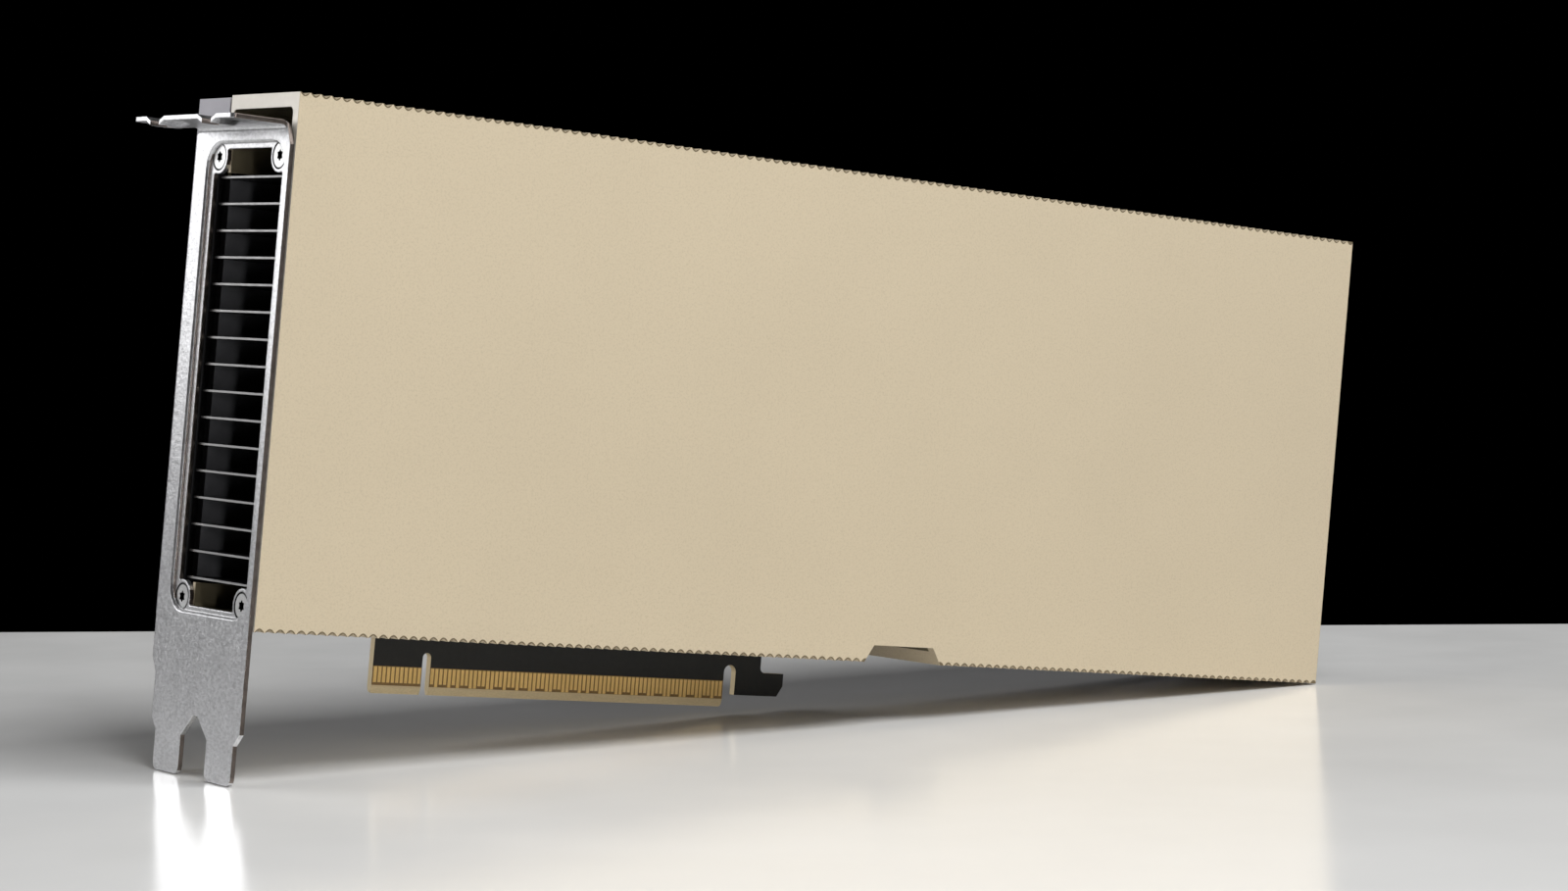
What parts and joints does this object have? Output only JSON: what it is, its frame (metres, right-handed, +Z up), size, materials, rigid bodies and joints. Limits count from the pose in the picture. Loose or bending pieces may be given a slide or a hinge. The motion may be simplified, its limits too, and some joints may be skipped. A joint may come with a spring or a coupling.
{
  "type": "passive accelerator card",
  "caption": "Full-length two-slot passive accelerator card: champagne finned-duct shroud, vented steel slot bracket and card edge connector, cooled by chassis air.",
  "frame": {"origin": "on the slot bracket's outer face, at the tip of the leg nearest the fin side, on that leg's centre line", "axes": "+X from the bracket to the far end along the card's length, +Y from the finned side to the circuit board and back frame, +Z up from the leg tips to the screw tab"},
  "size_m": [0.2789, 0.0406, 0.1266],
  "materials": {
    "champagne_aluminium": "fine bead-blasted, champagne anodised",
    "grey_aluminium": "satin lavender grey",
    "bracket_steel": "plated sheet, fine grain",
    "screw_steel": "satin plated",
    "dark_screw_steel": "black oxide",
    "fin_aluminium": "mill finish",
    "base_metal": "nickel plated",
    "solder_mask": "black solder mask over glass laminate, cream cut edges",
    "contact_gold": "hard gold plated",
    "substrate_laminate": "dark green laminate",
    "silicon": "polished",
    "stiffener_metal": "satin",
    "thermal_compound": "soft matt",
    "thermal_pad": "soft matt",
    "ferrite": "pressed, matt",
    "chip_plastic": "moulded, matt",
    "capacitor_plastic": "moulded, satin",
    "capacitor_ceramic": "fired, satin",
    "crystal_can": "plated can",
    "inlet_plastic": "moulded nylon",
    "pin_metal": "tin plated",
    "film_plastic": "thin black film"
  },
  "bodies": {
    "root": {"shroud": "champagne_aluminium", "back_frame": "grey_aluminium", "io_bracket": "bracket_steel", "bracket_screws": "screw_steel", "shroud_screws": "dark_screw_steel", "heatsink_base": "base_metal", "heatsink_fins": "fin_aluminium", "heatsink_screws": "screw_steel", "heatsink_washers": "screw_steel", "circuit_board": "solder_mask", "edge_contacts_front": "contact_gold", "edge_contacts_rear": "contact_gold", "board_screws": "screw_steel", "processor_substrate": "substrate_laminate", "processor_die": "silicon", "memory_stacks": "silicon", "package_stiffener": "stiffener_metal", "thermal_paste": "thermal_compound", "power_inductors": "ferrite", "inductor_thermal_pads": "thermal_pad", "power_stages": "chip_plastic", "power_stage_pads": "thermal_pad", "bulk_capacitors": "capacitor_plastic", "ceramic_capacitors": "capacitor_ceramic", "rear_capacitors": "capacitor_ceramic", "control_chips": "chip_plastic", "clock_crystal": "crystal_can", "firmware_chip": "chip_plastic", "management_chip": "chip_plastic", "input_choke": "ferrite", "power_inlet_housing": "inlet_plastic", "power_inlet_pins": "pin_metal", "insulating_film": "film_plastic"}
  },
  "joints": []
}
